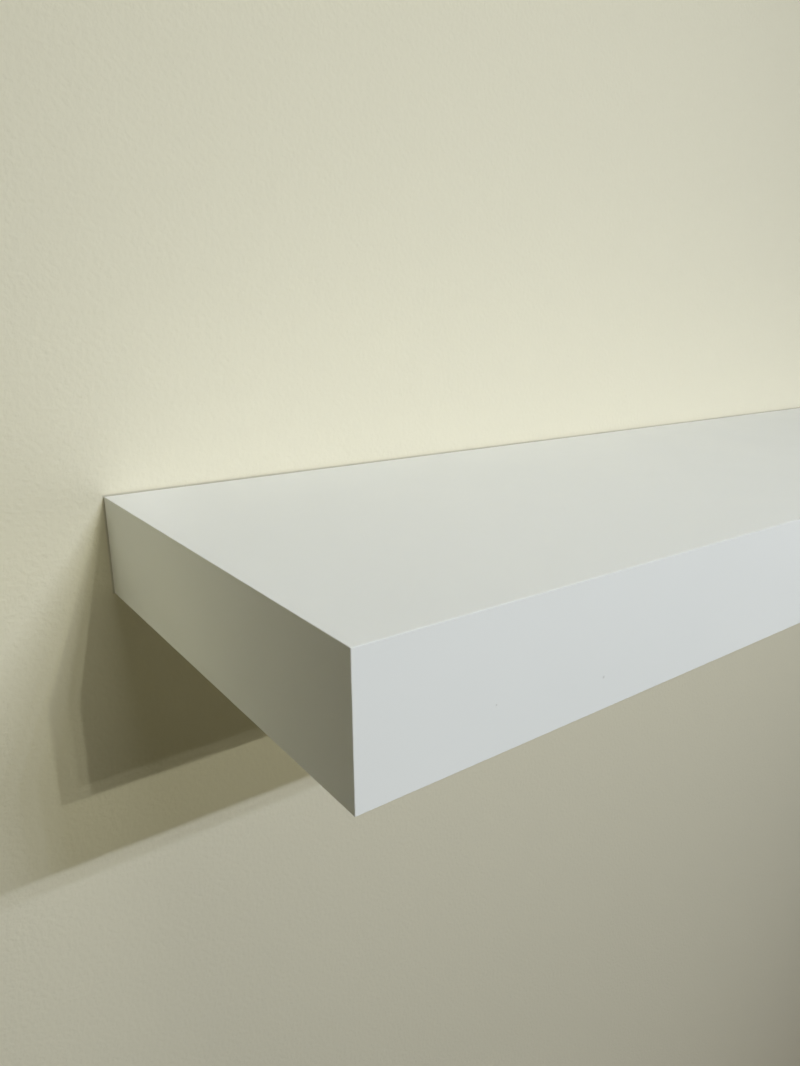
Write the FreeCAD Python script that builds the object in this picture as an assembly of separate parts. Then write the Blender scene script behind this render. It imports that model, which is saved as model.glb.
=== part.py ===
# A floating wall shelf: a painted hollow box that slides over the rods of a hidden steel bracket.
#
# Units are millimetres. +X runs along the shelf to the right of someone facing it, +Y points into
# the wall and +Z is up. The wall is the plane y = 0, and the origin is on it, at the middle of the
# bracket plate's back face, which is also the middle of the shelf's thickness.
import FreeCAD, Part
import math
import os

# Shelf box, seen from outside
SHELF_LENGTH = 900.0
SHELF_DEPTH = 250.0
SHELF_THICKNESS = 55.0
PANEL_THICKNESS = 12.0  # board that the five faces are cut from
ARRIS_RADIUS = 0.3  # sanded edge along every painted corner
WALL_GAP = 1.0  # shadow line between the box and the wall

# Frame inside the box
RAIL_THICKNESS = 18.0  # back and middle rails, which the rods pass through
BATTEN_THICKNESS = 18.0  # glued behind the front and end panels
RIB_THICKNESS = 18.0
DOWEL_DIAMETER = 8.0
DOWEL_REACH = 16.0  # how far a dowel goes into the end of a rib or batten
DOWEL_WEB = 3.0  # wood left in a rail between two dowels that meet end to end
DOWEL_CLEARANCE = 0.1
DOWEL_CHAMFER = 0.8

# Bracket plate on the wall
PLATE_THICKNESS = 5.0
PLATE_END_CLEARANCE = 3.0  # plate end to end panel
PLATE_EDGE_CLEARANCE = 1.0  # plate edge to top and bottom panels
PLATE_CORNER_RADIUS = 4.0
RAIL_SEAT_CLEARANCE = 0.5  # plate face to back rail
WALL_HOLE_DIAMETER = 5.5
WALL_HOLE_HEAD_DIAMETER = 11.0
WALL_HOLE_OFFSET = 40.0  # from a rod, to each side of it
WALL_HOLE_EDGE_DISTANCE = 6.5  # hole centre to the plate's long edge

# Rods that carry the box
ROD_COUNT = 4
ROD_DIAMETER = 14.0
ROD_END_INSET = 90.0  # shelf end to the outermost rod
ROD_TIP_CLEARANCE = 29.0  # rod tip to front batten
ROD_TIP_CHAMFER = 1.5
ROD_CLEARANCE = 0.4  # all round, in the rails

# Countersunk screws that hold the rods to the plate
ROD_SCREW_DIAMETER = 6.0
ROD_SCREW_HEAD_DIAMETER = 12.0
ROD_SCREW_REACH = 15.0  # shank inside the rod
ROD_SCREW_HEAD_RECESS = 0.2  # below the plate's back face
ROD_SCREW_CLEARANCE = 0.1
ROD_SCREW_DRILL_SPARE = 2.0  # tapped hole beyond the screw's end
ROD_SCREW_KEY_SIZE = 4.0  # hexagon, across its flats
ROD_SCREW_KEY_DEPTH = 2.0

# Lock screws that press on the outermost rods from below
LOCK_SCREW_DIAMETER = 6.0
LOCK_SCREW_SETBACK = 35.0  # back rail to screw axis
LOCK_SCREW_RECESS = 4.2  # screw end to the shelf's underside when locked
LOCK_SCREW_TIP_GAP = 0.3
LOCK_SCREW_CHAMFER = 0.8
LOCK_SCREW_CLEARANCE = 0.05
LOCK_SCREW_KEY_SIZE = 3.0
LOCK_SCREW_KEY_DEPTH = 4.0
INSERT_DIAMETER = 10.0
INSERT_RECESS = 0.5  # insert ends to the two faces of the bottom panel
INSERT_CLEARANCE = 0.05
INSERT_SLOT_WIDTH = 1.6
INSERT_SLOT_DEPTH = 1.8
INSERT_GROOVE_COUNT = 4
INSERT_GROOVE_WIDTH = 1.0
INSERT_GROOVE_DEPTH = 0.5

# Where the box's outer faces lie
END_X = SHELF_LENGTH / 2
BACK_Y = -WALL_GAP
FRONT_Y = BACK_Y - SHELF_DEPTH
TOP_Z = SHELF_THICKNESS / 2

# The space inside the panels
CORE_X = END_X - PANEL_THICKNESS
CORE_FRONT_Y = FRONT_Y + PANEL_THICKNESS
CORE_Z = TOP_Z - PANEL_THICKNESS

# Faces of the frame, from the wall to the front
PLATE_FRONT_Y = -PLATE_THICKNESS
BACK_RAIL_BACK_Y = PLATE_FRONT_Y - RAIL_SEAT_CLEARANCE
BACK_RAIL_FRONT_Y = BACK_RAIL_BACK_Y - RAIL_THICKNESS
FRONT_BATTEN_BACK_Y = CORE_FRONT_Y + BATTEN_THICKNESS
MIDDLE_RAIL_Y = (BACK_RAIL_FRONT_Y + FRONT_BATTEN_BACK_Y) / 2
MIDDLE_RAIL_BACK_Y = MIDDLE_RAIL_Y + RAIL_THICKNESS / 2
MIDDLE_RAIL_FRONT_Y = MIDDLE_RAIL_Y - RAIL_THICKNESS / 2
END_BATTEN_X = CORE_X - BATTEN_THICKNESS

# Rods stand at even steps, and a rib stands midway between each two of them
ROD_PITCH = (SHELF_LENGTH - 2 * ROD_END_INSET) / (ROD_COUNT - 1)
ROD_XS = [ROD_END_INSET - END_X + step * ROD_PITCH for step in range(ROD_COUNT)]
RIB_XS = [(left + right) / 2 for left, right in zip(ROD_XS, ROD_XS[1:])]
ROD_TIP_Y = FRONT_BATTEN_BACK_Y + ROD_TIP_CLEARANCE
LOCK_SCREW_Y = BACK_RAIL_FRONT_Y - LOCK_SCREW_SETBACK

PLATE_X = CORE_X - PLATE_END_CLEARANCE
PLATE_Z = CORE_Z - PLATE_EDGE_CLEARANCE

RIGHT = FreeCAD.Vector(1, 0, 0)
TO_WALL = FreeCAD.Vector(0, 1, 0)
FROM_WALL = FreeCAD.Vector(0, -1, 0)
UP = FreeCAD.Vector(0, 0, 1)


def point(x, y, z):
    return FreeCAD.Vector(x, y, z)


def block(low, high):
    """Rectangular block between two opposite corners."""
    size = high - low
    return Part.makeBox(size.x, size.y, size.z, low)


def rod(start, direction, radius, length):
    """Plain cylinder that begins at start and runs along direction."""
    return Part.makeCylinder(radius, length, start, direction)


def chamfered_rod(start, direction, radius, length, start_chamfer, end_chamfer):
    """Cylinder with a 45 degree chamfer at either end, where its size is not zero."""
    body = rod(start + direction * start_chamfer, direction, radius, length - start_chamfer - end_chamfer)
    pieces = []
    if start_chamfer > 0:
        pieces.append(Part.makeCone(radius - start_chamfer, radius, start_chamfer, start, direction))
    if end_chamfer > 0:
        shoulder = start + direction * (length - end_chamfer)
        pieces.append(Part.makeCone(radius, radius - end_chamfer, end_chamfer, shoulder, direction))
    return body.fuse(pieces).removeSplitter()


def hexagon_socket(start, direction, across_flats, depth):
    """Hexagonal prism that a key fits, from start along direction."""
    corner_radius = across_flats / math.sqrt(3)
    side = UP if abs(direction.dot(UP)) < 0.5 else RIGHT
    other = direction.cross(side)
    angles = [math.radians(60 * step) for step in range(7)]
    corners = [start + (side * math.cos(a) + other * math.sin(a)) * corner_radius for a in angles]
    return Part.Face(Part.makePolygon(corners)).extrude(direction * depth)


def rectangle_wire(center, half_u, half_v):
    """Closed rectangle with center in its middle, where half_u and half_v reach to its sides."""
    low_side = [center - half_u - half_v, center + half_u - half_v]
    high_side = [center + half_u + half_v, center - half_u + half_v]
    return Part.makePolygon(low_side + high_side + low_side[:1])


def mitred_board(outer, inner):
    """Board with a larger outer rectangle and a smaller inner one, joined by mitred sides."""
    return Part.makeLoft([outer, inner], True, True)


def painted_outline():
    """The whole box as one block with its eight painted edges eased; the back edges stay square."""
    solid = block(point(-END_X, FRONT_Y, -TOP_Z), point(END_X, BACK_Y, TOP_Z))
    eased = [edge for edge in solid.Edges if edge.BoundBox.YMin < BACK_Y - ARRIS_RADIUS]
    return solid.makeFillet(ARRIS_RADIUS, eased)


def lying_panel(side):
    """Top panel for side 1 or bottom panel for side -1, mitred along the front and both ends."""
    half_depth = TO_WALL * ((BACK_Y - FRONT_Y) / 2)
    half_inner_depth = TO_WALL * ((BACK_Y - CORE_FRONT_Y) / 2)
    outer_center = point(0, (BACK_Y + FRONT_Y) / 2, side * TOP_Z)
    inner_center = point(0, (BACK_Y + CORE_FRONT_Y) / 2, side * CORE_Z)
    outer = rectangle_wire(outer_center, RIGHT * END_X, half_depth)
    inner = rectangle_wire(inner_center, RIGHT * CORE_X, half_inner_depth)
    return painted_outline().common(mitred_board(outer, inner))


def front_panel():
    """Front panel, mitred on all four sides."""
    outer = rectangle_wire(point(0, FRONT_Y, 0), RIGHT * END_X, UP * TOP_Z)
    inner = rectangle_wire(point(0, CORE_FRONT_Y, 0), RIGHT * CORE_X, UP * CORE_Z)
    return painted_outline().common(mitred_board(outer, inner))


def end_panel(side):
    """Left end panel for side -1 or right one for side 1, mitred along its front, top and bottom."""
    half_depth = TO_WALL * ((BACK_Y - FRONT_Y) / 2)
    half_inner_depth = TO_WALL * ((BACK_Y - CORE_FRONT_Y) / 2)
    outer_center = point(side * END_X, (BACK_Y + FRONT_Y) / 2, 0)
    inner_center = point(side * CORE_X, (BACK_Y + CORE_FRONT_Y) / 2, 0)
    outer = rectangle_wire(outer_center, half_depth, UP * TOP_Z)
    inner = rectangle_wire(inner_center, half_inner_depth, UP * CORE_Z)
    return painted_outline().common(mitred_board(outer, inner))


def dowel_joints():
    """Each dowel's place, as the point where two members meet and the way into the jointed one's end."""
    joints = []
    for x in RIB_XS:
        joints.append((point(x, BACK_RAIL_FRONT_Y, 0), FROM_WALL))
        joints.append((point(x, MIDDLE_RAIL_BACK_Y, 0), TO_WALL))
        joints.append((point(x, MIDDLE_RAIL_FRONT_Y, 0), FROM_WALL))
        joints.append((point(x, FRONT_BATTEN_BACK_Y, 0), TO_WALL))
    for side in (-1, 1):
        batten_x = side * (END_BATTEN_X + CORE_X) / 2
        joints.append((point(batten_x, BACK_RAIL_FRONT_Y, 0), FROM_WALL))
        joints.append((point(batten_x, FRONT_BATTEN_BACK_Y, 0), TO_WALL))
        joints.append((point(side * END_BATTEN_X, MIDDLE_RAIL_Y, 0), RIGHT * -side))
    return joints


def dowel(joint):
    """One dowel, partly in the rail and partly in the member that ends on the rail."""
    meeting, inward = joint
    rail_reach = (RAIL_THICKNESS - DOWEL_WEB) / 2
    start = meeting - inward * rail_reach
    length = rail_reach + DOWEL_REACH
    return chamfered_rod(start, inward, DOWEL_DIAMETER / 2, length, DOWEL_CHAMFER, DOWEL_CHAMFER)


def dowel_holes():
    """Drilled holes for all dowels, a clearance larger than the dowels every way."""
    rail_reach = (RAIL_THICKNESS - DOWEL_WEB) / 2 + DOWEL_CLEARANCE
    length = rail_reach + DOWEL_REACH + DOWEL_CLEARANCE
    radius = DOWEL_DIAMETER / 2 + DOWEL_CLEARANCE
    holes = [rod(meeting - inward * rail_reach, inward, radius, length) for meeting, inward in dowel_joints()]
    return Part.makeCompound(holes)


def rod_channels():
    """Round channels through the rails, one for each rod."""
    radius = ROD_DIAMETER / 2 + ROD_CLEARANCE
    length = PLATE_FRONT_Y - FRONT_BATTEN_BACK_Y
    return Part.makeCompound([rod(point(x, PLATE_FRONT_Y, 0), FROM_WALL, radius, length) for x in ROD_XS])


def frame_member(low_x, high_x, front_y, back_y):
    """A rail, batten or rib as tall as the core, with its dowel holes and rod channels drilled."""
    blank = block(point(low_x, front_y, -CORE_Z), point(high_x, back_y, CORE_Z))
    return blank.cut([dowel_holes(), rod_channels()])


def frame_members():
    """All wooden pieces inside the box, by name."""
    members = {
        "back_rail": frame_member(-CORE_X, CORE_X, BACK_RAIL_FRONT_Y, BACK_RAIL_BACK_Y),
        "middle_rail": frame_member(-END_BATTEN_X, END_BATTEN_X, MIDDLE_RAIL_FRONT_Y, MIDDLE_RAIL_BACK_Y),
        "front_batten": frame_member(-CORE_X, CORE_X, CORE_FRONT_Y, FRONT_BATTEN_BACK_Y),
        "left_end_batten": frame_member(-CORE_X, -END_BATTEN_X, FRONT_BATTEN_BACK_Y, BACK_RAIL_FRONT_Y),
        "right_end_batten": frame_member(END_BATTEN_X, CORE_X, FRONT_BATTEN_BACK_Y, BACK_RAIL_FRONT_Y),
        "core_dowels": Part.makeCompound([dowel(joint) for joint in dowel_joints()]),
    }
    for number, x in enumerate(RIB_XS, start=1):
        low_x = x - RIB_THICKNESS / 2
        high_x = x + RIB_THICKNESS / 2
        members[f"rear_rib_{number}"] = frame_member(low_x, high_x, MIDDLE_RAIL_BACK_Y, BACK_RAIL_FRONT_Y)
        members[f"front_rib_{number}"] = frame_member(low_x, high_x, FRONT_BATTEN_BACK_Y, MIDDLE_RAIL_FRONT_Y)
    return members


def countersunk_hole(mouth, direction, hole_diameter, head_diameter, depth):
    """Through hole whose mouth widens at 45 degrees to the head's diameter."""
    sink = (head_diameter - hole_diameter) / 2
    shaft = rod(mouth, direction, hole_diameter / 2, depth)
    return shaft.fuse(Part.makeCone(head_diameter / 2, hole_diameter / 2, sink, mouth, direction))


def wall_hole_centers():
    """Two holes beside each rod: the one nearer the shelf's end is high, the other is low."""
    height = PLATE_Z - WALL_HOLE_EDGE_DISTANCE
    centers = []
    for rod_x in ROD_XS:
        for side in (-1, 1):
            row = 1 if side * rod_x > 0 else -1
            centers.append((rod_x + side * WALL_HOLE_OFFSET, row * height))
    return centers


def wall_plate():
    """Flat steel bar with countersunk holes: from the front for the wall, from the back for the rods."""
    bar = block(point(-PLATE_X, PLATE_FRONT_Y, -PLATE_Z), point(PLATE_X, 0, PLATE_Z))
    corners = [edge for edge in bar.Edges if edge.BoundBox.YLength > PLATE_THICKNESS / 2]
    bar = bar.makeFillet(PLATE_CORNER_RADIUS, corners)
    holes = []
    for x, z in wall_hole_centers():
        mouth = point(x, PLATE_FRONT_Y, z)
        holes.append(
            countersunk_hole(mouth, TO_WALL, WALL_HOLE_DIAMETER, WALL_HOLE_HEAD_DIAMETER, PLATE_THICKNESS)
        )
    rod_hole_diameter = ROD_SCREW_DIAMETER + 2 * ROD_SCREW_CLEARANCE
    rod_hole_mouth_diameter = ROD_SCREW_HEAD_DIAMETER + 2 * (ROD_SCREW_HEAD_RECESS + ROD_SCREW_CLEARANCE)
    for x in ROD_XS:
        mouth = point(x, 0, 0)
        holes.append(
            countersunk_hole(mouth, FROM_WALL, rod_hole_diameter, rod_hole_mouth_diameter, PLATE_THICKNESS)
        )
    return bar.cut(holes)


def support_rod(x):
    """Steel rod that stands on the plate, tapped at the wall end for its screw."""
    start = point(x, PLATE_FRONT_Y, 0)
    length = PLATE_FRONT_Y - ROD_TIP_Y
    bar = chamfered_rod(start, FROM_WALL, ROD_DIAMETER / 2, length, 0, ROD_TIP_CHAMFER)
    tapped_radius = ROD_SCREW_DIAMETER / 2 + ROD_SCREW_CLEARANCE
    return bar.cut(rod(start, FROM_WALL, tapped_radius, ROD_SCREW_REACH + ROD_SCREW_DRILL_SPARE))


def rod_screw(x):
    """Countersunk screw through the plate into a rod, with a hexagon socket towards the wall."""
    head_face = point(x, -ROD_SCREW_HEAD_RECESS, 0)
    head_radius = ROD_SCREW_HEAD_DIAMETER / 2
    shank_radius = ROD_SCREW_DIAMETER / 2
    head_height = head_radius - shank_radius
    end_y = PLATE_FRONT_Y - ROD_SCREW_REACH
    head = Part.makeCone(head_radius, shank_radius, head_height, head_face, FROM_WALL)
    shank = rod(head_face, FROM_WALL, shank_radius, head_face.y - end_y)
    socket = hexagon_socket(head_face, FROM_WALL, ROD_SCREW_KEY_SIZE, ROD_SCREW_KEY_DEPTH)
    return head.fuse(shank).removeSplitter().cut(socket)


def lock_screw(x):
    """Set screw whose tip stops just under a rod; its key socket faces down."""
    start = point(x, LOCK_SCREW_Y, LOCK_SCREW_RECESS - TOP_Z)
    length = TOP_Z - LOCK_SCREW_RECESS - ROD_DIAMETER / 2 - LOCK_SCREW_TIP_GAP
    radius = LOCK_SCREW_DIAMETER / 2
    body = chamfered_rod(start, UP, radius, length, LOCK_SCREW_CHAMFER, LOCK_SCREW_CHAMFER)
    return body.cut(hexagon_socket(start, UP, LOCK_SCREW_KEY_SIZE, LOCK_SCREW_KEY_DEPTH))


def insert_hole(x):
    """Hole through the bottom panel for a threaded insert."""
    radius = INSERT_DIAMETER / 2 + INSERT_CLEARANCE
    return rod(point(x, LOCK_SCREW_Y, -TOP_Z), UP, radius, PANEL_THICKNESS)


def lock_insert(x):
    """Brass sleeve in the bottom panel, grooved outside and slotted below, that a lock screw turns in."""
    start = point(x, LOCK_SCREW_Y, INSERT_RECESS - TOP_Z)
    length = PANEL_THICKNESS - 2 * INSERT_RECESS
    radius = INSERT_DIAMETER / 2
    sleeve = rod(start, UP, radius, length)
    cuts = [rod(start, UP, LOCK_SCREW_DIAMETER / 2 + LOCK_SCREW_CLEARANCE, length)]
    slot_reach = point(radius, INSERT_SLOT_WIDTH / 2, 0)
    cuts.append(block(start - slot_reach, start + slot_reach + UP * INSERT_SLOT_DEPTH))
    plain_length = length - INSERT_SLOT_DEPTH
    groove_step = plain_length / (INSERT_GROOVE_COUNT + 1)
    for step in range(1, INSERT_GROOVE_COUNT + 1):
        base = start + UP * (INSERT_SLOT_DEPTH + step * groove_step - INSERT_GROOVE_WIDTH / 2)
        ring = rod(base, UP, radius, INSERT_GROOVE_WIDTH)
        cuts.append(ring.cut(rod(base, UP, radius - INSERT_GROOVE_DEPTH, INSERT_GROOVE_WIDTH)))
    return sleeve.cut(cuts)


def all_nodes():
    """Every separate piece of the shelf by name."""
    lock_xs = {"left": ROD_XS[0], "right": ROD_XS[-1]}
    nodes = {
        "top_panel": lying_panel(1),
        "bottom_panel": lying_panel(-1).cut([insert_hole(x) for x in lock_xs.values()]),
        "front_panel": front_panel(),
        "left_end_panel": end_panel(-1),
        "right_end_panel": end_panel(1),
        "wall_plate": wall_plate(),
        "rod_screws": Part.makeCompound([rod_screw(x) for x in ROD_XS]),
    }
    nodes.update(frame_members())
    for number, x in enumerate(ROD_XS, start=1):
        nodes[f"support_rod_{number}"] = support_rod(x)
    for side, x in lock_xs.items():
        nodes[f"{side}_lock_insert"] = lock_insert(x)
        nodes[f"{side}_lock_screw"] = lock_screw(x)
    return nodes


def main():
    os.makedirs("parts", exist_ok=True)
    for name, shape in sorted(all_nodes().items()):
        shape.exportStep(os.path.join("parts", f"{name}.step"))
        volume_cm3 = shape.Volume / 1000
        print(f"{name}: solids {len(shape.Solids)}, volume {volume_cm3:.2f} cm3, valid {shape.isValid()}")


main()
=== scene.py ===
# %% [markdown]
# # A floating wall shelf
# The shelf is a hollow box of white-painted board that hides a steel bracket. The measured
# pieces come from the CAD model and keep their place. This lesson gives each of them its finish,
# adds the small things that a maker leaves behind, such as glue lines and screw threads, and
# sets up the wall, the lamps and the camera.

# %% Load the measured shelf
import math

import bpy
import numpy as np
from mathutils import Matrix, Vector


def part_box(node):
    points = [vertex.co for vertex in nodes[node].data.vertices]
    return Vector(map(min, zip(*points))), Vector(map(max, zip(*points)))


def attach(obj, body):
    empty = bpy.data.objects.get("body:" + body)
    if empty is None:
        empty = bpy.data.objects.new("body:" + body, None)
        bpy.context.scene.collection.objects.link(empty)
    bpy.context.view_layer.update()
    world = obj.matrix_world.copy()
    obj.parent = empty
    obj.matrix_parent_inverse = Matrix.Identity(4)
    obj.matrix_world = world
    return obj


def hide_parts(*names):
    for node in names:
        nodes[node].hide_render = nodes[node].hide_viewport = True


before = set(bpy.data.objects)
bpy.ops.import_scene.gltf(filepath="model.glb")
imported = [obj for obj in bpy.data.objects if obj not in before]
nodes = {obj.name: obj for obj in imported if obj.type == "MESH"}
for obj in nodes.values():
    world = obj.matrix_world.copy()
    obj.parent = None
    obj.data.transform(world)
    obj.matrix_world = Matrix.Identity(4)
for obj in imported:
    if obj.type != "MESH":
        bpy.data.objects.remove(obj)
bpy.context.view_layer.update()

MM = 0.001
print("pieces in the frame:", len(nodes))

# %% [markdown]
# ## Where the painted faces lie
# Many finishes depend on how deep a point is below the box's outer faces: paint covers the outside
# and bare board shows at the back. So the outer faces are read from the panels once, here.

# %% Read the box's outer faces
PANELS = ["top_panel", "bottom_panel", "front_panel", "left_end_panel", "right_end_panel"]
panel_boxes = [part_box(name) for name in PANELS]
box_low = Vector([min(low[axis] for low, high in panel_boxes) for axis in range(3)])
box_high = Vector([max(high[axis] for low, high in panel_boxes) for axis in range(3)])
half_length = (box_high.x - box_low.x) / 2
half_thickness = (box_high.z - box_low.z) / 2
front_y = box_low.y
back_y = box_high.y
print("shelf box in mm:", [round(value / MM, 1) for value in box_high - box_low])

# %% [markdown]
# ## Camera
# The view is a phone's wide lens, close to the shelf's left front corner and a little above it.
# The lens and place were worked out from how the shelf's edges run together in the picture.
# A camera looks along its own -Z, so it is first stood upright, then turned, and rolled last.

# %% Make the camera
CAMERA_PLACE = Vector((-0.5533, -0.4197, 0.1142))
CAMERA_YAW = math.radians(35.60)  # from straight at the wall towards the shelf's right end
CAMERA_PITCH = math.radians(-15.13)
CAMERA_ROLL = math.radians(-0.47)
LENS_MM = 25.60
LONG_SIDE_MM = 36.0  # film size along the picture's longer side

camera_data = bpy.data.cameras.new("camera")
camera_data.lens = LENS_MM
camera_data.sensor_width = LONG_SIDE_MM
camera_data.clip_start = 0.01
camera = bpy.data.objects.new("camera", camera_data)
bpy.context.scene.collection.objects.link(camera)
turn = Matrix.Rotation(-CAMERA_YAW, 4, "Z") @ Matrix.Rotation(math.pi / 2 + CAMERA_PITCH, 4, "X")
camera.matrix_world = Matrix.Translation(CAMERA_PLACE) @ turn @ Matrix.Rotation(CAMERA_ROLL, 4, "Z")
bpy.context.scene.camera = camera
bpy.context.scene.view_settings.view_transform = "Standard"
print("camera looks along", [round(value, 3) for value in camera.matrix_world.col[2].xyz * -1])

# %% [markdown]
# ## Helpers for materials
# A finish is a small graph of shader nodes. One function turns a colour as a painter would name it,
# a hex value, to the linear numbers that light is worked out in. Another adds a node of any kind.

# %% Colour and node helpers
def linear(hex_colour):
    """sRGB hex to linear RGBA: undo the display curve, straight below 0.04045 and a power above."""
    parts = np.array([int(hex_colour[i:i + 2], 16) for i in (1, 3, 5)]) / 255
    curved = ((parts + 0.055) / 1.055) ** 2.4
    return (*np.where(parts <= 0.04045, parts / 12.92, curved), 1.0)


def add(tree, kind, inputs=None, **settings):
    """Add a node. Inputs go by socket name or number to a value, a node's first output or an output."""
    node = tree.nodes.new("ShaderNode" + kind)
    for name, value in settings.items():
        setattr(node, name, value)
    for socket, value in (inputs or {}).items():
        if isinstance(value, bpy.types.Node):
            tree.links.new(value.outputs[0], node.inputs[socket])
        elif isinstance(value, bpy.types.NodeSocket):
            tree.links.new(value, node.inputs[socket])
        else:
            node.inputs[socket].default_value = value
    return node


def new_finish(name):
    """An empty material's node tree, with only its output left to join."""
    material = bpy.data.materials.new(name)
    material.use_nodes = True
    material.node_tree.nodes.clear()
    return material


def per_metre(size_mm):
    """How often a pattern of that size repeats in a metre, which is a texture's scale."""
    return 1 / (size_mm * MM)


def close_finish(material, shader):
    """Join the last shader to the material's output."""
    add(material.node_tree, "OutputMaterial", {"Surface": shader})
    print("finish:", material.name, "with", len(material.node_tree.nodes), "nodes")
    return material


# %% [markdown]
# ## Satin white enamel on fibre board
# The box is medium-density fibre board under rolled satin enamel. The paint is not quite flat: a
# roller leaves a stipple about two millimetres wide and only hundredths of a millimetre high, the
# tone drifts a little over a hand's width, and on the eased edges the paint is rubbed dull and given
# a painted shade, a touch greyer, that dims the line of lamp light along them. A dark grey line runs
# along the back edge, where the box meets the wall. Two small scuffs mark the front. Behind, where
# the box meets the wall, nobody paints, so brown board shows with a ragged white border. One material
# can do both if it knows how deep a point lies under the outer faces.

# %% White enamel finish
ENAMEL = "#EAEAE5"
ENAMEL_DRIFT = "#E5E6E2"
# Painted shade: the eased edges are painted greyer than the faces, to dim the line of lamp light along them
ENAMEL_EDGE_SHADE = "#D6D5CD"
# Dark grey for the line along the back edge, for the line round the shelf on the wall, and for the scuffs
MARK_GREY = "#8C887A"
BOARD = "#B08E68"
BOARD_DARK = "#8C6B49"
STIPPLE_MM = 2.2
STIPPLE_HEIGHT_MM = 0.010
DRIFT_MM = 110.0
PATCH_MM = 9.0  # patches where the rubbed, shaded edge band and the back line reach further or less far
POLISH_MM = 35.0
SATIN = (0.45, 0.52)  # lowest and highest roughness of the paint
RUBBED_DULL = 0.85  # roughness of rubbed paint
BOARD_DULL = 0.9  # roughness of bare board
EDGE_REACH_MM = 0.5
EDGE_SHADE = 0.75
PAINT_CREEP_MM = 1.6  # how far paint wraps round the back edge
CREEP_LEAST_MM = 0.5
CREEP_FADE_MM = 0.35  # width of the soft border between paint and bare board
RAGGED_MM = 5.0  # tooth size of that border
BACK_LINE_REACH_MM = 1.2  # dark line along the back edge, where the box meets the wall
BACK_LINE_STRENGTH = 0.45
FIBRE_MM = 0.7
FIBRE_HEIGHT_MM = 0.05
SCUFFS_MM = [(-338.4, -13.8, 0.9), (-393.3, -8.1, 0.6)]  # x, z and radius on the front face
SCUFF_SHADE = 0.35


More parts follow.
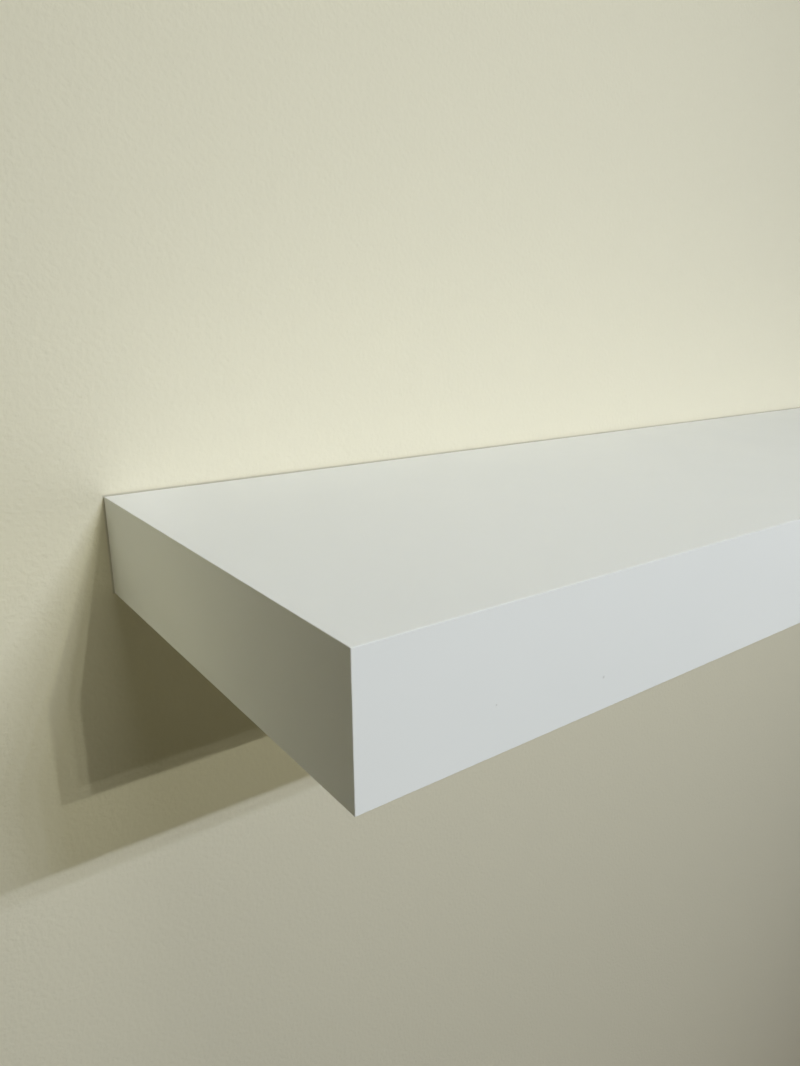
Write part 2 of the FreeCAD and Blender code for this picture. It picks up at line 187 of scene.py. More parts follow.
def white_enamel():
    """Paint, rubbed edges with painted shade, a dark back line, scuffs and bare board, by depth in the box.
    """
    material = new_finish("satin_enamel_on_fibre_board")
    tree = material.node_tree
    place = add(tree, "TexCoord").outputs["Object"]
    xyz = add(tree, "SeparateXYZ", {0: place})
    # Depth below each pair of outer faces: the ends, the front, and the top and bottom
    from_middle = add(tree, "Math", {0: xyz.outputs[0]}, operation="ABSOLUTE")
    below_ends = add(tree, "Math", {0: half_length, 1: from_middle}, operation="SUBTRACT")
    below_front = add(tree, "Math", {0: xyz.outputs[1], 1: front_y}, operation="SUBTRACT")
    from_level = add(tree, "Math", {0: xyz.outputs[2]}, operation="ABSOLUTE")
    below_lying = add(tree, "Math", {0: half_thickness, 1: from_level}, operation="SUBTRACT")
    lower = add(tree, "Math", {0: below_ends, 1: below_front}, operation="MINIMUM")
    higher = add(tree, "Math", {0: below_ends, 1: below_front}, operation="MAXIMUM")
    depth = add(tree, "Math", {0: lower, 1: below_lying}, operation="MINIMUM")
    inner = add(tree, "Math", {0: higher, 1: below_lying}, operation="MINIMUM")
    second_depth = add(tree, "Math", {0: lower, 1: inner}, operation="MAXIMUM")
    # Paint drifts in tone; along the eased edges it is rubbed dull and given a painted shade
    drift = add(tree, "TexNoise", {"Vector": place, "Scale": per_metre(DRIFT_MM), "Detail": 3.0})
    tone = add(
        tree, "Mix", {0: drift, 6: linear(ENAMEL), 7: linear(ENAMEL_DRIFT)}, data_type="RGBA"
    ).outputs[2]
    patches = add(tree, "TexNoise", {"Vector": place, "Scale": per_metre(PATCH_MM), "Detail": 4.0})
    rubbed_and_shaded_reach = add(
        tree, "MapRange",
        {0: patches, 1: 0.35, 2: 0.65, 3: 0.35 * EDGE_REACH_MM * MM, 4: EDGE_REACH_MM * MM},
    )
    rubbed_and_shaded = add(
        tree, "MapRange", {0: second_depth, 1: 0.0, 2: rubbed_and_shaded_reach, 3: EDGE_SHADE, 4: 0.0},
        interpolation_type="SMOOTHSTEP",
    )
    painted = add(
        tree, "Mix", {0: rubbed_and_shaded, 6: tone, 7: linear(ENAMEL_EDGE_SHADE)}, data_type="RGBA"
    ).outputs[2]
    # Darker grey along the back edge, fading out about a millimetre from where the box meets the wall
    from_back = add(tree, "Math", {0: back_y, 1: xyz.outputs[1]}, operation="SUBTRACT")
    back_line_reach = add(
        tree, "MapRange", {0: patches, 1: 0.3, 2: 0.7, 3: 0.5 * BACK_LINE_REACH_MM * MM, 4: BACK_LINE_REACH_MM * MM}
    )
    darkened = add(
        tree, "MapRange", {0: from_back, 1: 0.0, 2: back_line_reach, 3: BACK_LINE_STRENGTH, 4: 0.0},
        interpolation_type="SMOOTHSTEP",
    )
    painted = add(tree, "Mix", {0: darkened, 6: painted, 7: linear(MARK_GREY)}, data_type="RGBA").outputs[2]
    # Scuffs on the front, each a soft round spot
    for x, z, radius in SCUFFS_MM:
        middle = (x * MM, front_y, z * MM)
        away = add(tree, "VectorMath", {0: place, 1: middle}, operation="DISTANCE").outputs["Value"]
        scuffed = add(
            tree, "MapRange", {0: away, 1: 0.0, 2: radius * MM, 3: SCUFF_SHADE, 4: 0.0},
            interpolation_type="SMOOTHSTEP",
        )
        painted = add(tree, "Mix", {0: scuffed, 6: painted, 7: linear(MARK_GREY)}, data_type="RGBA").outputs[2]
    # Bare board where the point is deeper than the paint reaches
    fibre = add(tree, "TexNoise", {"Vector": place, "Scale": per_metre(FIBRE_MM), "Detail": 5.0})
    bare = add(
        tree, "Mix", {0: fibre, 6: linear(BOARD), 7: linear(BOARD_DARK)}, data_type="RGBA"
    ).outputs[2]
    ragged = add(tree, "TexNoise", {"Vector": place, "Scale": per_metre(RAGGED_MM), "Detail": 6.0})
    creep = add(
        tree, "MapRange", {0: ragged, 1: 0.3, 2: 0.7, 3: CREEP_LEAST_MM * MM, 4: 2 * PAINT_CREEP_MM * MM}
    )
    creep_end = add(tree, "Math", {0: creep, 1: CREEP_FADE_MM * MM}, operation="ADD")
    bareness = add(
        tree, "MapRange", {0: depth, 1: creep, 2: creep_end, 3: 0.0, 4: 1.0},
        interpolation_type="SMOOTHSTEP",
    )
    colour = add(tree, "Mix", {0: bareness, 6: painted, 7: bare}, data_type="RGBA").outputs[2]
    # Roughness: satin paint with a faint polish, and dull board
    polish = add(tree, "TexNoise", {"Vector": place, "Scale": per_metre(POLISH_MM), "Detail": 2.0})
    satin = add(tree, "MapRange", {0: polish, 1: 0.3, 2: 0.7, 3: SATIN[0], 4: SATIN[1]})
    worn = add(tree, "Mix", {0: rubbed_and_shaded, 2: satin, 3: RUBBED_DULL})
    roughness = add(tree, "Mix", {0: bareness, 2: worn, 3: BOARD_DULL})
    # Relief: roller stipple, and fibres where the board is bare
    stipple = add(tree, "TexNoise", {"Vector": place, "Scale": per_metre(STIPPLE_MM), "Detail": 2.0})
    peel = add(tree, "Bump", {"Distance": STIPPLE_HEIGHT_MM * MM, "Height": stipple})
    fuzz = add(
        tree, "Bump",
        {"Strength": bareness, "Distance": FIBRE_HEIGHT_MM * MM, "Height": fibre, "Normal": peel},
    )
    shader = add(
        tree, "BsdfPrincipled",
        {"Base Color": colour, "Roughness": roughness, "IOR": 1.5, "Normal": fuzz},
    )
    return close_finish(material, shader)


enamel = white_enamel()

# %% [markdown]
# ## Pine frame
# The rails, battens and ribs are planed pine. Its face shows growth rings cut lengthwise: pale
# early wood that darkens slowly and stops at a sharp line, about four millimetres apart. A ring
# wave about a pith well outside the board gives that, if it is stretched along the grain and bent
# by a little noise. Fine fibres run the same way. The rails run along X and the ribs along Y.

# %% Pine and beech finishes
PINE_EARLY = "#E0BE8C"
PINE_LATE = "#BE8A50"
BEECH_EARLY = "#D3A879"
BEECH_LATE = "#B98A5C"
WAVE_PERIOD = 2 * math.pi / 20  # length of one ring in a wave texture of scale 1
PITH_MM = (-35.0, -62.0)  # pith's place across the grain
PINE_RING_MM = 4.2
BEECH_RING_MM = 2.0
RING_STRETCH = 0.12  # how much slower the rings change along the grain
RING_SHARE = 0.7
WOOD_FIBRE_MM = 0.6
WOOD_FIBRE_STRETCH = 0.02
WOOD_FIBRE_SHARE = 0.45
WOOD_RELIEF_MM = 0.06


def timber(name, along, ring_mm, early, late):
    """Planed wood whose grain runs along X or Y: rings about the pith, and fine fibres on top."""
    material = new_finish(name)
    tree = material.node_tree
    place = add(tree, "TexCoord").outputs["Object"]
    quarter = math.pi / 2 if along == "Y" else 0.0
    grain = add(tree, "Mapping", {"Vector": place, "Rotation": (0.0, 0.0, quarter)})
    pith = add(
        tree, "Mapping",
        {
            "Vector": grain, "Location": (0.0, PITH_MM[0] * MM, PITH_MM[1] * MM),
            "Scale": (RING_STRETCH, 1.0, 1.0),
        },
    )
    rings = add(
        tree, "TexWave",
        {
            "Vector": pith, "Scale": WAVE_PERIOD * per_metre(ring_mm), "Distortion": 2.2,
            "Detail": 2.0, "Detail Scale": 0.35,
        },
        wave_type="RINGS", rings_direction="X", wave_profile="SAW",
    )
    streaks = add(tree, "Mapping", {"Vector": grain, "Scale": (WOOD_FIBRE_STRETCH, 1.0, 1.0)})
    fibres = add(tree, "TexNoise", {"Vector": streaks, "Scale": per_metre(WOOD_FIBRE_MM), "Detail": 4.0})
    ring_darkness = add(tree, "Math", {0: rings.outputs[1], 1: RING_SHARE}, operation="MULTIPLY")
    darkness = add(
        tree, "Math", {0: fibres, 1: WOOD_FIBRE_SHARE, 2: ring_darkness}, operation="MULTIPLY_ADD"
    )
    colour = add(
        tree, "Mix", {0: darkness, 6: linear(early), 7: linear(late)}, data_type="RGBA"
    ).outputs[2]
    roughness = add(tree, "MapRange", {0: fibres, 1: 0.3, 2: 0.7, 3: 0.55, 4: 0.75})
    relief = add(tree, "Bump", {"Distance": WOOD_RELIEF_MM * MM, "Height": darkness})
    shader = add(
        tree, "BsdfPrincipled",
        {"Base Color": colour, "Roughness": roughness, "IOR": 1.5, "Normal": relief},
    )
    return close_finish(material, shader)


pine_along = timber("planed_pine_along_shelf", "X", PINE_RING_MM, PINE_EARLY, PINE_LATE)
pine_across = timber("planed_pine_across_shelf", "Y", PINE_RING_MM, PINE_EARLY, PINE_LATE)
beech = timber("beech_dowel", "Y", BEECH_RING_MM, BEECH_EARLY, BEECH_LATE)

# %% [markdown]
# ## Metals
# The plate is steel under black powder coat, which bakes to a fine matte grain. The rods are bright
# zinc-plated bar with drawing lines along them and a faint blue and straw tint. Screws are black
# oxide steel, and the inserts are turned brass that has dulled a little. A metal's colour is its
# reflection, so these are fully metallic, apart from the coated plate.

# %% Metal finishes
COATING = "#202123"
COATING_WORN = "#2B2C2E"
ZINC_BLUE = "#BFC4C8"
ZINC_STRAW = "#CFCBBB"
OXIDE = "#3A3A3C"
OXIDE_WORN = "#55544F"
BRASS = "#C8A252"
BRASS_DULL = "#A07C3C"
COAT_GRAIN_MM = 0.7
COAT_HEIGHT_MM = 0.04
COAT_CLOUD_MM = 40.0
TOOL_LINE_MM = 0.4  # lines that drawing or turning leaves in metal
TOOL_LINE_HEIGHT_MM = 0.008


def powder_coat():
    """Baked powder: a fine grain in the relief and the shine, and a faint cloud in the colour."""
    material = new_finish("black_powder_coat")
    tree = material.node_tree
    place = add(tree, "TexCoord").outputs["Object"]
    grain = add(tree, "TexNoise", {"Vector": place, "Scale": per_metre(COAT_GRAIN_MM), "Detail": 3.0})
    cloud = add(tree, "TexNoise", {"Vector": place, "Scale": per_metre(COAT_CLOUD_MM), "Detail": 3.0})
    colour = add(
        tree, "Mix", {0: cloud, 6: linear(COATING), 7: linear(COATING_WORN)}, data_type="RGBA"
    ).outputs[2]
    roughness = add(tree, "MapRange", {0: grain, 1: 0.3, 2: 0.7, 3: 0.48, 4: 0.62})
    relief = add(tree, "Bump", {"Distance": COAT_HEIGHT_MM * MM, "Height": grain})
    shader = add(
        tree, "BsdfPrincipled",
        {"Base Color": colour, "Roughness": roughness, "IOR": 1.5, "Normal": relief},
    )
    return close_finish(material, shader)


def bare_metal(name, clean, aged, tint_mm, stretch, smooth, rough):
    """A metal whose colour drifts between two tones; stretch draws its fine lines along an axis."""
    material = new_finish(name)
    tree = material.node_tree
    place = add(tree, "TexCoord").outputs["Object"]
    tint = add(tree, "TexNoise", {"Vector": place, "Scale": per_metre(tint_mm), "Detail": 2.0})
    share = add(tree, "MapRange", {0: tint, 1: 0.35, 2: 0.65, 3: 0.0, 4: 1.0})
    colour = add(
        tree, "Mix", {0: share, 6: linear(clean), 7: linear(aged)}, data_type="RGBA"
    ).outputs[2]
    lines = add(tree, "Mapping", {"Vector": place, "Scale": stretch})
    marks = add(tree, "TexNoise", {"Vector": lines, "Scale": per_metre(TOOL_LINE_MM), "Detail": 3.0})
    roughness = add(tree, "MapRange", {0: marks, 1: 0.3, 2: 0.7, 3: smooth, 4: rough})
    relief = add(tree, "Bump", {"Distance": TOOL_LINE_HEIGHT_MM * MM, "Height": marks})
    shader = add(
        tree, "BsdfPrincipled",
        {"Base Color": colour, "Metallic": 1.0, "Roughness": roughness, "Normal": relief},
    )
    return close_finish(material, shader)


coating = powder_coat()
zinc = bare_metal("zinc_plated_steel", ZINC_BLUE, ZINC_STRAW, 30.0, (1.0, 0.03, 1.0), 0.24, 0.38)
oxide = bare_metal("black_oxide_steel", OXIDE, OXIDE_WORN, 6.0, (1.0, 1.0, 1.0), 0.38, 0.55)
brass = bare_metal("turned_brass", BRASS, BRASS_DULL, 5.0, (1.0, 1.0, 0.2), 0.22, 0.36)

# %% [markdown]
# ## Give every CAD piece its finish
# A piece from the frame keeps its mesh. Only the material in its slot is changed.

# %% Assign finishes
ACROSS = ["left_end_batten", "right_end_batten"]
ACROSS += [name for name in nodes if "_rib_" in name]


def finish_of(name):
    """The finish of a CAD piece, from its name."""
    if name in PANELS:
        return enamel
    if name in ACROSS:
        return pine_across
    if name.endswith("_rail") or name.endswith("_batten"):
        return pine_along
    if name == "core_dowels":
        return beech
    if name == "wall_plate":
        return coating
    if name.startswith("support_rod"):
        return zinc
    if name.endswith("_insert"):
        return brass
    return oxide


for name, piece in nodes.items():
    piece.data.materials.clear()
    piece.data.materials.append(finish_of(name))
print("finished pieces:", {name: finish_of(name).name for name in sorted(nodes)})

# %% [markdown]
# ## Building pieces from grids
# The small pieces that follow are all grids of points wrapped round into closed skins, so two helpers
# are enough. One numbers the corners of the quads between neighbouring rows. The other puts points and
# faces into a mesh, keeps edges sharper than 35 degrees crisp, and lets the piece ride on its body.

# %% Grid helpers
CRISP_DEGREES = 35.0


def skin(rows, columns, rows_meet=False):
    """Quads of a grid: each joins a point, its neighbour in the next column (the last meets the first),
    and the two points below them in the next row."""
    row = np.arange(rows if rows_meet else rows - 1)[:, None]
    column = np.arange(columns)[None, :]
    below = (row + 1) % rows
    beside = (column + 1) % columns
    corners = [
        row * columns + column, row * columns + beside,
        below * columns + beside, below * columns + column,
    ]
    return np.stack(np.broadcast_arrays(*corners), axis=-1).reshape(-1, 4)


def new_piece(name, points, faces, material, body):
    """Make a mesh object at the origin from points in metres and lists of corner numbers."""
    mesh = bpy.data.meshes.new(name)
    mesh.from_pydata(points.reshape(-1, 3).tolist(), [], faces)
    mesh.shade_smooth()
    mesh.set_sharp_from_angle(angle=math.radians(CRISP_DEGREES))
    mesh.materials.append(material)
    piece = bpy.data.objects.new(name, mesh)
    bpy.context.scene.collection.objects.link(piece)
    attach(piece, body)
    print("piece:", name, "with", len(mesh.vertices), "points and", len(mesh.polygons), "faces")
    return piece


# %% [markdown]
# ## Glue line behind the back rail
# When the boards were clamped round the timber frame, white glue was pressed out along the back rail
# and dried to an amber, uneven fillet. It could be a bevelled curve, but then it would bulge into the
# boards. Here a fillet profile is carried round the inside of the box, and its size wanders as it goes.

# %% Dried glue
GLUE = "#D9B878"
GLUE_CLOUDY = "#E8D6AC"
GLUE_CLOUD_MM = 6.0
GLUE_STEP_MM = 1.5
GLUE_LONG_MM = (0.35, 0.85)  # smallest and largest fillet under the top and bottom boards
GLUE_SHORT_MM = (0.8, 2.0)  # the same beside the end boards
GLUE_BITE_MM = 0.12  # how far the fillet's hidden corner lies inside the wood
GLUE_HOLLOW = 1.4  # power that makes the fillet hollow
GLUE_WAVES_MM = np.geomspace(7.0, 160.0, 5)


def dried_glue():
    """White glue dries clear amber, cloudy where it is thick, with a soft skin like shine."""
    material = new_finish("dried_white_glue")
    tree = material.node_tree
    place = add(tree, "TexCoord").outputs["Object"]
    cloud = add(tree, "TexNoise", {"Vector": place, "Scale": per_metre(GLUE_CLOUD_MM), "Detail": 3.0})
    share = add(tree, "MapRange", {0: cloud, 1: 0.35, 2: 0.65, 3: 0.0, 4: 1.0})
    colour = add(
        tree, "Mix", {0: share, 6: linear(GLUE), 7: linear(GLUE_CLOUDY)}, data_type="RGBA"
    ).outputs[2]
    roughness = add(tree, "MapRange", {0: cloud, 1: 0.3, 2: 0.7, 3: 0.22, 4: 0.42})
    shader = add(
        tree, "BsdfPrincipled", {"Base Color": colour, "Roughness": roughness, "IOR": 1.46}
    )
    return close_finish(material, shader)


def wander(along_mm, seed):
    """A value from 0 to 1 along a line: five cosines of 7 to 160 mm with random starts, added up."""
    chance = np.random.default_rng(seed)
    starts = chance.uniform(0.0, 2 * np.pi, GLUE_WAVES_MM.size)
    heights = np.cos(2 * np.pi * along_mm[:, None] / GLUE_WAVES_MM + starts).sum(axis=1)
    return np.clip(0.5 + heights / 6.0, 0.0, 1.0)


def glue_fillet():
    """At each step round the inside of the box, the profile is a curve from the board to the rail,
    u = sin(a)^1.4 inwards and v = cos(a)^1.4 towards the wall, plus one corner hidden in the wood.
    It is scaled by the fillet's size there. At the box's corners it is pushed along the diagonal."""
    reach_x = half_length - (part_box("left_end_panel")[1].x - box_low.x)
    reach_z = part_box("top_panel")[0].z
    rail_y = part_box("back_rail")[1].y
    long_count = round(2 * reach_x / (GLUE_STEP_MM * MM))
    short_count = round(2 * reach_z / (GLUE_STEP_MM * MM))
    along_x = np.linspace(-reach_x, reach_x, long_count, endpoint=False)
    along_z = np.linspace(-reach_z, reach_z, short_count, endpoint=False)
    x = np.concatenate([along_x, np.full(short_count, reach_x), -along_x, np.full(short_count, -reach_x)])
    z = np.concatenate([np.full(long_count, -reach_z), along_z, np.full(long_count, reach_z), -along_z])
    inward_x = np.where(np.abs(x) > reach_x - 1e-6, -np.sign(x), 0.0)
    inward_z = np.where(np.abs(z) > reach_z - 1e-6, -np.sign(z), 0.0)
    amount = wander(np.arange(x.size) * GLUE_STEP_MM, 11)
    on_long = np.abs(inward_z)
    low = np.where(on_long > 0, GLUE_LONG_MM[0], GLUE_SHORT_MM[0])
    high = np.where(on_long > 0, GLUE_LONG_MM[1], GLUE_SHORT_MM[1])
    size = (low + (high - low) * amount) * MM
    angle = np.linspace(0.0, np.pi / 2, 7)
    hidden = np.full((x.size, 1), -GLUE_BITE_MM * MM)
    inset = np.concatenate([size[:, None] * np.sin(angle) ** GLUE_HOLLOW, hidden], axis=1)
    stand = np.concatenate([size[:, None] * np.cos(angle) ** GLUE_HOLLOW, hidden], axis=1)
    points = np.stack(
        [x[:, None] + inward_x[:, None] * inset, rail_y + stand, z[:, None] + inward_z[:, None] * inset],
        axis=-1,
    )
    return points, skin(x.size, angle.size + 1, rows_meet=True).tolist()


glue_points, glue_faces = glue_fillet()
new_piece("glue_line", glue_points, glue_faces, dried_glue(), "shelf_box")

# %% [markdown]
# ## Threaded lock screws
# Each lock is a headless M6 set screw. The CAD model has plain cylinders, which is right for contact,
# but a screw that is backed out shows its thread. A thread is a radius that rises and falls with the
# height less a share of the turn, so the whole screw, with its hexagon socket, is one wrapped grid.

# %% Lock screws
PITCH_MM = 1.0
THREAD_DEPTH_MM = 0.61
END_RADIUS_MM = 2.2  # where the 45 degree end chamfers start
KEY_MM = 3.0  # across the socket's flats
KEY_DEPTH_MM = 4.0
KEY_CONE_MM = 0.5  # drill point at the socket's end
KEY_FLARE_MM = 0.15
TIP_CUP_MM = 0.6
ROUND = 48  # points round the screw, a multiple of the hexagon's six
ROWS_PER_TURN = 12


def threaded_screw(node):
    """Rows of points from the bottom of the socket, out over the end and up the thread to the tip.
    Thread: with t = height / pitch - angle / full turn, the wave w = |2 frac(t) - 1| gives the radius
    outer - depth * clamp(1.35 w - 0.2), cut by chamfers at both ends. Socket: the hexagon's radius is
    half the flats over cos of the angle from the nearest flat's middle."""
    low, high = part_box(node)
    centre_x = (low.x + high.x) / 2
    centre_y = (low.y + high.y) / 2
    outer = (high.x - low.x) / 2
    angle = np.arange(ROUND) * 2 * np.pi / ROUND
    hexagon = KEY_MM / 2 * MM / np.cos(np.mod(angle, np.pi / 3) - np.pi / 6)
    socket_z = low.z + KEY_DEPTH_MM * MM
    socket = [
        (0.0 * hexagon, socket_z + KEY_CONE_MM * MM), (hexagon, socket_z),
        (hexagon, low.z + KEY_FLARE_MM * MM), (hexagon + KEY_FLARE_MM * MM, low.z),
    ]
    height = np.linspace(low.z, high.z, round((high.z - low.z) / MM / PITCH_MM * ROWS_PER_TURN) + 1)
    turn = (height[:, None] - low.z) / (PITCH_MM * MM) - angle[None, :] / (2 * np.pi)
    wave = np.abs(2 * (turn - np.floor(turn)) - 1)
    thread = outer - THREAD_DEPTH_MM * MM * np.clip(1.35 * wave - 0.2, 0.0, 1.0)
    from_end = np.minimum(height - low.z, high.z - height)[:, None]
    thread = np.minimum(thread, END_RADIUS_MM * MM + from_end)
    tip = [(0.0 * hexagon, high.z - TIP_CUP_MM * MM)]
    radius = np.concatenate([[row for row, z in socket], thread, [row for row, z in tip]])
    rise = np.concatenate([[z for row, z in socket], height, [z for row, z in tip]])
    points = np.stack(
        [
            centre_x + radius * np.cos(angle), centre_y + radius * np.sin(angle),
            np.broadcast_to(rise[:, None], radius.shape),
        ],
        axis=-1,
    )
    # The first and last rows are single points, so each keeps one corner and its quads become triangles
    quads = skin(radius.shape[0], ROUND)
    first, last = quads[:ROUND], quads[-ROUND:]
    triangles = np.concatenate([
        np.stack([np.zeros(ROUND, int), first[:, 2], first[:, 3]], axis=1),
        np.stack([last[:, 0], last[:, 1], np.full(ROUND, last.max())], axis=1),
    ])
    kept = np.concatenate([[0], np.arange(ROUND, points.shape[0] * ROUND - ROUND), [last.max()]])
    number = np.full(points.shape[0] * ROUND, -1)
    number[kept] = np.arange(kept.size)
    faces = number[quads[ROUND:-ROUND]].tolist() + number[triangles].tolist()
    return points.reshape(-1, 3)[kept], faces


for side in ("left", "right"):
    screw_points, screw_faces = threaded_screw(side + "_lock_screw")
    screw = new_piece(side + "_threaded_screw", screw_points, screw_faces, oxide, side + "_lock")
    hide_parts(side + "_lock_screw")

# %% [markdown]
# ## Nibs in the paint
# Dust that settles on wet enamel dries under it as tiny nibs, and a raking lamp picks them out. Each is
# a low dome with a soft foot. All of them are one mesh: the same small grid is laid at every place at
# once by adding an axis to the arrays, so there is no loop over the nibs.

# %% Paint nibs
NIB_COUNTS = {"top": 70, "bottom": 40, "front": 34, "left": 9, "right": 9}
NIB_RADIUS_MM = (0.25, 0.50)
NIB_HEIGHT_MM = (0.02, 0.06)
NIB_ROUND = 10
NIB_RINGS = np.array([0.35, 0.7, 1.0])
NIB_OVAL = 0.18
NIB_ROOT_MM = 0.08  # how far its lowest point lies inside the board
NIB_INSET_MM = 4.0  # no nib lies nearer to an edge


def nib_places(chance):
    """Random places on the outer faces: a face's fixed coordinate, and even chance over the other two."""
    inset = Vector([NIB_INSET_MM * MM] * 3)
    low, high = np.array(box_low + inset), np.array(box_high - inset)
    faces = {
        "top": (2, box_high.z, 1), "bottom": (2, box_low.z, -1), "front": (1, box_low.y, -1),
        "left": (0, box_low.x, -1), "right": (0, box_high.x, 1),
    }
    places, outward = [], []
    for face, (axis, level, sign) in faces.items():
        scattered = chance.uniform(low, high, (NIB_COUNTS[face], 3))
        scattered[:, axis] = level
        places.append(scattered)
        outward.append(np.tile(sign * np.eye(3)[axis], (NIB_COUNTS[face], 1)))
    return np.concatenate(places), np.concatenate(outward)


def paint_nibs():
    """Dome of radius R and height H: at share r of the radius it stands H (1 - r^2)^1.5, so its foot is
    level with the face. The outline is an oval, 1 + 0.18 cos(2 angle + start). A top point and a point
    just inside the board close each nib."""
    chance = np.random.default_rng(5)
    places, outward = nib_places(chance)
    count = len(places)
    radius = chance.uniform(*NIB_RADIUS_MM, count) * MM
    height = chance.uniform(*NIB_HEIGHT_MM, count) * MM
    start = chance.uniform(0.0, 2 * np.pi, count)
    across = np.roll(outward, 1, axis=1)
    along = np.cross(outward, across)
    angle = np.arange(NIB_ROUND) * 2 * np.pi / NIB_ROUND
    oval = 1 + NIB_OVAL * np.cos(2 * angle[None, :] + start[:, None])
    reach = (radius[:, None] * oval)[:, None, :] * NIB_RINGS[None, :, None]
    stand = height[:, None] * (1 - NIB_RINGS ** 2) ** 1.5
    rings = (
        places[:, None, None, :]
        + (reach * np.cos(angle))[..., None] * across[:, None, None, :]
        + (reach * np.sin(angle))[..., None] * along[:, None, None, :]
        + stand[:, :, None, None] * outward[:, None, None, :]
    )
    tops = places + height[:, None] * outward
    roots = places - NIB_ROOT_MM * MM * outward
    points = np.concatenate([rings.reshape(count, -1, 3), tops[:, None], roots[:, None]], axis=1)
    ring = np.arange(NIB_ROUND)
    beside = (ring + 1) % NIB_ROUND
    outer = (NIB_RINGS.size - 1) * NIB_ROUND
    top = NIB_RINGS.size * NIB_ROUND
    quads = skin(NIB_RINGS.size, NIB_ROUND)[:, ::-1]
    fans = np.concatenate([
        np.stack([ring, beside, np.full(NIB_ROUND, top)], axis=1),
        np.stack([outer + beside, outer + ring, np.full(NIB_ROUND, top + 1)], axis=1),
    ])
    shift = (np.arange(count) * points.shape[1])[:, None, None]
    faces = (quads + shift).reshape(-1, 4).tolist() + (fans + shift).reshape(-1, 3).tolist()
    return points, faces


nib_points, nib_faces = paint_nibs()
nibs = new_piece("paint_nibs", nib_points, nib_faces, enamel, "shelf_box")

# %% [markdown]
# ## Wall and floor
# The shelf needs a wall to hang on, so a plain pale sheet stands where the wall would be, and a
# plain floor lies below. From behind, the sheet would hide the bracket, so its back is clear: the
# shader is see-through wherever the camera meets the sheet from behind. The lamps leave most of the
# floor dark, so to the camera it glows a little and stays pale.

# %% Stage
WALL = "#D9D3BC"
FLOOR = "#CFC4B4"
FLOOR_SEEN = "#D2CEC4"
ROLLER_MM = 3.0  # grain that a roller leaves in wall paint
ROLLER_HEIGHT_MM = 0.45  # higher than real, so that it shows
WALL_LINE_MM = 1.2  # dark line on the wall round the shelf
WALL_LINE_STRENGTH = 0.5
FLOOR_GLOW = 0.85  # share of the floor's look that doesn't depend on the lamps
STAGE_REACH = 4.0
FLOOR_Z = -1.2


def sheet(name, corners):
    """A flat rectangle through four corners, taken in order round its face."""
    mesh = bpy.data.meshes.new(name)
    mesh.from_pydata(corners, [], [(0, 1, 2, 3)])
    piece = bpy.data.objects.new(name, mesh)
    bpy.context.scene.collection.objects.link(piece)
    return piece


def wall_paint():
    """Matt emulsion with roller grain and a dark line round the shelf, clear from behind."""
    material = new_finish("wall_emulsion")
    tree = material.node_tree
    place = add(tree, "TexCoord").outputs["Object"]
    xyz = add(tree, "SeparateXYZ", {0: place})
    roller = add(tree, "TexNoise", {"Vector": place, "Scale": per_metre(ROLLER_MM), "Detail": 3.0})
    relief = add(tree, "Bump", {"Distance": ROLLER_HEIGHT_MM * MM, "Height": roller})
    # Distance outside the shelf's outline: the larger of the distances along X and along Z
    from_middle = add(tree, "Math", {0: xyz.outputs[0]}, operation="ABSOLUTE")
    beyond_ends = add(tree, "Math", {0: from_middle, 1: half_length}, operation="SUBTRACT")
    from_level = add(tree, "Math", {0: xyz.outputs[2]}, operation="ABSOLUTE")
    beyond_faces = add(tree, "Math", {0: from_level, 1: half_thickness}, operation="SUBTRACT")
    outside = add(tree, "Math", {0: beyond_ends, 1: beyond_faces}, operation="MAXIMUM")
    darkened = add(
        tree, "MapRange", {0: outside, 1: 0.0, 2: WALL_LINE_MM * MM, 3: WALL_LINE_STRENGTH, 4: 0.0},
        interpolation_type="SMOOTHSTEP",
    )
    colour = add(
        tree, "Mix", {0: darkened, 6: linear(WALL), 7: linear(MARK_GREY)}, data_type="RGBA"
    ).outputs[2]
    front = add(
        tree, "BsdfPrincipled",
        {"Base Color": colour, "Roughness": 0.85, "IOR": 1.45, "Normal": relief},
    )
    behind = add(tree, "NewGeometry").outputs["Backfacing"]
    clear = add(tree, "BsdfTransparent")
    return close_finish(material, add(tree, "MixShader", {0: behind, 1: front, 2: clear}))


def floor_paint():
    """Plain paint that catches shadows, and glows to the camera alone."""
    material = new_finish("floor_paint")
    tree = material.node_tree
    lit = add(tree, "BsdfPrincipled", {"Base Color": linear(FLOOR), "Roughness": 0.8})
    pale = add(tree, "Emission", {"Color": linear(FLOOR_SEEN)})
    seen = add(tree, "LightPath").outputs["Is Camera Ray"]
    share = add(tree, "Math", {0: seen, 1: FLOOR_GLOW}, operation="MULTIPLY")
    return close_finish(material, add(tree, "MixShader", {0: share, 1: lit, 2: pale}))


wall = sheet("wall", [
    (-STAGE_REACH, 0.0, FLOOR_Z), (STAGE_REACH, 0.0, FLOOR_Z),
    (STAGE_REACH, 0.0, STAGE_REACH), (-STAGE_REACH, 0.0, STAGE_REACH),
])
wall.data.materials.append(wall_paint())
wall.visible_shadow = False
floor = sheet("floor", [
    (-STAGE_REACH, -STAGE_REACH, FLOOR_Z), (STAGE_REACH, -STAGE_REACH, FLOOR_Z),
    (STAGE_REACH, STAGE_REACH, FLOOR_Z), (-STAGE_REACH, STAGE_REACH, FLOOR_Z),
])
floor.data.materials.append(floor_paint())

# %% [markdown]
# ## Light
# Two groups of small ceiling bulbs hang out in the room: three warm white ones ahead, and rows of cool
# ones a little nearer. Small bulbs throw the crisp double and triple shadow edges on the wall, which one
# large lamp would blur. All of them stand to the right of the shelf's left end, so that end is lit only
# by what the wall throws back, helped by one weak lamp beside it. A weak sheet of light lies just over
# the top and faces up, for the sheen that satin paint throws onto the wall above it. A soft lamp overhead
# and the far side of the room fill the shadows, and one more lamp lights the bracket from behind.

# %% Lamp helpers
BULB_RADIUS = 0.012


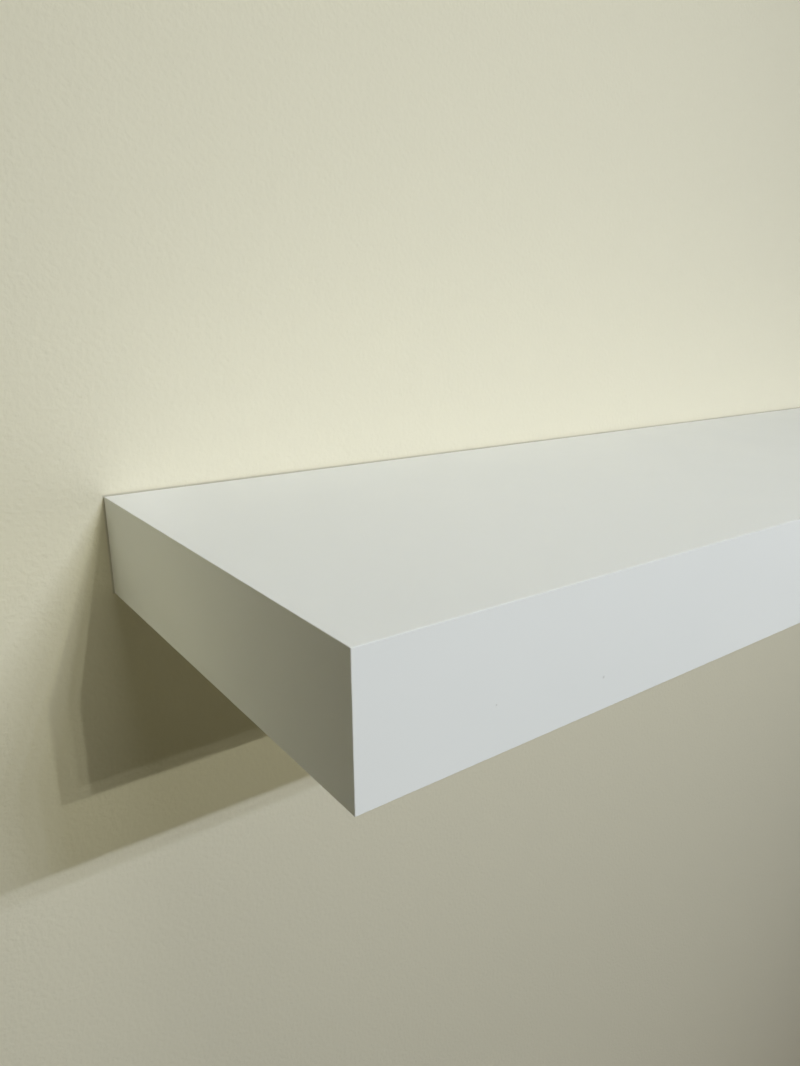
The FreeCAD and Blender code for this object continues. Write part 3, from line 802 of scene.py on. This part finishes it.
def lamp(name, kind, place, aim, watts, hex_colour, **settings):
    """A lamp at a place that shines towards its aim and is never seen itself."""
    data = bpy.data.lights.new(name, kind)
    data.energy = watts
    data.color = linear(hex_colour)[:3]
    for setting, value in settings.items():
        setattr(data, setting, value)
    light = bpy.data.objects.new(name, data)
    bpy.context.scene.collection.objects.link(light)
    light.visible_camera = False
    turned = (Vector(aim) - Vector(place)).to_track_quat("-Z", "Y").to_matrix().to_4x4()
    light.matrix_world = Matrix.Translation(place) @ turned


def spots(name, places, aim, watts, hex_colour, cone):
    """Small bulbs, each with a round beam that fades from its middle to the cone's edge."""
    for number, place in enumerate(places, 1):
        lamp(
            name + str(number), "SPOT", place, aim, watts, hex_colour,
            spot_size=math.radians(cone), spot_blend=1.0, shadow_soft_size=BULB_RADIUS,
        )


# %% Lamps
BULB_Z = 1.20
NEAR_PAIR = [(-0.022, -2.816, BULB_Z), (-0.192, -2.816, BULB_Z)]
NEAR_SINGLE = [(-0.105, -3.005, BULB_Z)]
SIDE_ROW = [(x, -2.153, BULB_Z) for x in np.linspace(-0.12, 0.44, 9)]
SIDE_ROW_NEARER = [(x, -2.046, BULB_Z) for x in np.linspace(-0.08, 0.40, 6)]
NEAR_AIM = (-0.08, 0.0, 0.18)
SIDE_AIM = (-0.02, 0.0, -0.36)
NEAR_WHITE = "#FEFFF0"
SIDE_WHITE = "#DFE8FF"
spots("near_pair_", NEAR_PAIR, NEAR_AIM, watts=38.6, hex_colour=NEAR_WHITE, cone=54)
spots("near_single_", NEAR_SINGLE, NEAR_AIM, watts=22.4, hex_colour=NEAR_WHITE, cone=52)
spots("side_row_", SIDE_ROW, SIDE_AIM, watts=10.3, hex_colour=SIDE_WHITE, cone=63)
spots("side_row_nearer_", SIDE_ROW_NEARER, SIDE_AIM, watts=6.2, hex_colour=SIDE_WHITE, cone=63)
lamp(
    "overhead", "AREA", place=(-0.35, -0.8, 1.8), aim=(-0.35, -0.12, 0.0), watts=0.83, hex_colour="#FCFFF9",
    shape="DISK", size=0.7, spread=math.radians(55),
)
lamp(
    "left_bounce", "AREA", place=(-0.60, -0.095, 0.0), aim=(-0.45, -0.095, 0.0), watts=0.021,
    hex_colour="#FFFFD7", shape="DISK", size=0.12, spread=math.radians(140),
)
SHEEN_LIFT = 1 * MM
above_top = Vector((0.0, (front_y + back_y) / 2, half_thickness + SHEEN_LIFT))
straight_up = Vector((0.0, 0.0, 1.0))
lamp(
    "top_sheen", "AREA", place=above_top, aim=above_top + straight_up, watts=0.15, hex_colour="#E6EAFF",
    shape="RECTANGLE", size=2 * half_length, size_y=back_y - front_y,
)
lamp(
    "behind", "AREA", place=(0.0, 1.4, 0.0), aim=(0.0, 0.0, 0.0), watts=9.0, hex_colour="#FFFFFF",
    shape="DISK", size=0.12,
)

# %% [markdown]
# ## The room around
# The world is what lies beyond the wall and the floor. The camera and reflections see it as a plain pale
# room. To all other light it is dark, apart from a warm glow ahead of the shelf and level with it, which
# is the far side of the room. That glow softens the deep shadow under the shelf.

# %% Room
BACKGROUND = "#DCDAD0"
ROOM_DARK = "#050504"
ROOM_GLOW = "#D8D49C"
GLOW_SIDEWAYS = (0.12, 0.36)  # where the glow starts to fade and ends, as a direction's X
GLOW_UPWARDS = (0.15, 0.36)  # the same as a direction's Z

world = bpy.data.worlds.new("room")
bpy.context.scene.world = world
world.use_nodes = True
room = world.node_tree
room.nodes.clear()
ray = add(room, "LightPath")
seen = add(
    room, "Math", {0: ray.outputs["Is Camera Ray"], 1: ray.outputs["Is Glossy Ray"]}, operation="MAXIMUM"
)
shown = add(room, "Math", {0: seen, 1: ray.outputs["Is Transmission Ray"]}, operation="MAXIMUM")
direction = add(room, "SeparateXYZ", {0: add(room, "TexCoord").outputs["Generated"]})
sideways = add(room, "Math", {0: direction.outputs[0]}, operation="ABSOLUTE")
ahead = add(
    room, "MapRange", {0: sideways, 1: GLOW_SIDEWAYS[0], 2: GLOW_SIDEWAYS[1], 3: 1.0, 4: 0.0},
    interpolation_type="SMOOTHSTEP",
)
level = add(
    room, "MapRange", {0: direction.outputs[2], 1: GLOW_UPWARDS[0], 2: GLOW_UPWARDS[1], 3: 1.0, 4: 0.0},
    interpolation_type="SMOOTHSTEP",
)
share = add(room, "Math", {0: ahead, 1: level}, operation="MULTIPLY")
glow = add(
    room, "Mix", {0: share, 6: linear(ROOM_DARK), 7: linear(ROOM_GLOW)}, data_type="RGBA"
).outputs[2]
room_colour = add(room, "Mix", {0: shown, 6: glow, 7: linear(BACKGROUND)}, data_type="RGBA").outputs[2]
add(room, "OutputWorld", {"Surface": add(room, "Background", {"Color": room_colour})})
print("room:", world.name, "with", len(room.nodes), "nodes")
